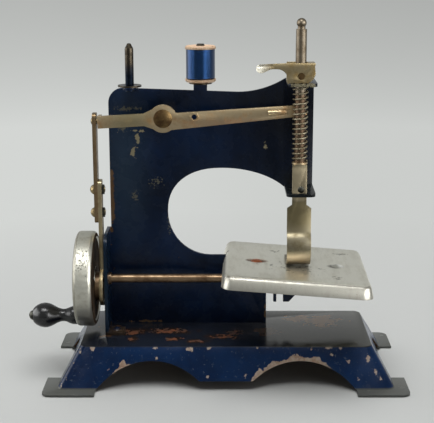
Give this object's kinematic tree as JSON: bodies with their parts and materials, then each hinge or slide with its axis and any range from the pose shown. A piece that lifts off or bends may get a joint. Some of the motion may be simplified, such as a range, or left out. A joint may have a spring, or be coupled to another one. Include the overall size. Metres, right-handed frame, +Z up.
{
  "type": "toy sewing machine",
  "caption": "Toy sewing machine of pressed sheet steel on an arched base, with a crank handwheel, rocking needle lever, sprung presser foot, tilted cloth plate and a spool.",
  "frame": {"origin": "middle of the part's box, on the table under the foot lips", "axes": "+X from the handwheel to the needle, +Y from the front to the back, +Z up"},
  "size_m": [0.193, 0.091, 0.1806],
  "materials": {
    "navy_paint": "gloss",
    "nickel": "tarnished satin",
    "bright_steel": "satin",
    "dark_steel": "satin",
    "copper_brown": "satin",
    "tarnished_brass": "satin",
    "black_lacquer": "gloss",
    "spool_wood": "waxed",
    "navy_thread": "satin"
  },
  "bodies": {
    "stand": {"base": "navy_paint", "body_plate": "navy_paint", "body_rivets": "navy_paint", "left_bush": "tarnished_brass", "bearing_bracket": "navy_paint", "bracket_rivets": "navy_paint", "right_bush": "tarnished_brass", "cloth_plate": "bright_steel", "cloth_rivet": "copper_brown", "feed_stud": "nickel", "spare_pin": "copper_brown", "spare_washer": "tarnished_brass", "spool_pin": "copper_brown", "spool_washer": "tarnished_brass", "lever_spacer": "nickel", "pivot_screw": "copper_brown", "pivot_nut": "nickel"},
    "drive": {"handwheel": "bright_steel", "main_shaft": "copper_brown", "eccentric": "copper_brown", "feed_cam": "dark_steel", "looper": "dark_steel", "knob_rivet": "nickel"},
    "knob": {"crank_knob": "black_lacquer"},
    "lever": {"needle_lever": "nickel"},
    "rod": {"upper_rod": "nickel", "lower_rod": "nickel", "rod_screws": "nickel", "rod_nuts": "nickel", "rod_rivet": "nickel"},
    "needle_unit": {"needle_bar": "nickel", "drive_stud": "nickel", "needle": "nickel", "needle_screw": "nickel"},
    "presser": {"presser_bar": "nickel", "presser_foot": "nickel", "foot_screw": "dark_steel", "spring_washer": "nickel", "presser_spring": "dark_steel", "lifter_pin": "copper_brown"},
    "lifter": {"presser_lifter": "nickel"},
    "reel": {"spool": "spool_wood", "thread_core": "navy_thread", "thread_winding": "navy_thread"},
    "feeder": {"feed_lever": "dark_steel"}
  },
  "joints": [
    {"name": "drive_turn", "type": "hinge", "parent": "stand", "child": "drive", "pos_m": [0.006, -0.0018, 0.0474], "axis": [1, 0, 0], "continuous": true},
    {"name": "knob_spin", "type": "hinge", "parent": "drive", "child": "knob", "pos_m": [-0.0827, -0.0018, 0.0274], "axis": [1, 0, 0], "continuous": true},
    {"name": "lever_rock", "type": "hinge", "parent": "stand", "child": "lever", "pos_m": [-0.0253, -0.0056, 0.131], "axis": [0, 1, 0], "range_deg": [0, 14.51]},
    {"name": "rod_hang", "type": "hinge", "parent": "lever", "child": "rod", "pos_m": [-0.057, -0.0018, 0.12917], "axis": [0, 1, 0], "range_deg": [-15, 0]},
    {"name": "needle_slide", "type": "slide", "parent": "stand", "child": "needle_unit", "axis": [0, 0, -1], "range_m": [0, 0.01735]},
    {"name": "lifter_turn", "type": "hinge", "parent": "presser", "child": "lifter", "pos_m": [0.0424, -0.0112, 0.153], "axis": [0, 1, 0], "range_deg": [0, 80]},
    {"name": "presser_raise", "type": "slide", "parent": "stand", "child": "presser", "axis": [0, 0, 1], "range_m": [0, 0.00321], "deforming": ["presser_spring"]},
    {"name": "reel_spin", "type": "hinge", "parent": "stand", "child": "reel", "pos_m": [-0.007, 0.016, 0.1567], "axis": [0, 0, 1], "continuous": true},
    {"name": "feed_swing", "type": "hinge", "parent": "stand", "child": "feeder", "pos_m": [0.0631, -0.0055, 0.05482], "axis": [0.0715, 0, 0.9974], "range_deg": [-4, 4]}
  ],
  "couplings": [
    {"joint": "rod_hang", "follows": "lever_rock", "ratio": -1},
    {"joint": "needle_slide", "follows": "lever_rock", "m_per_rad": 0.068395},
    {"joint": "presser_raise", "follows": "lifter_turn", "m_per_rad": 0.0022918}
  ]
}
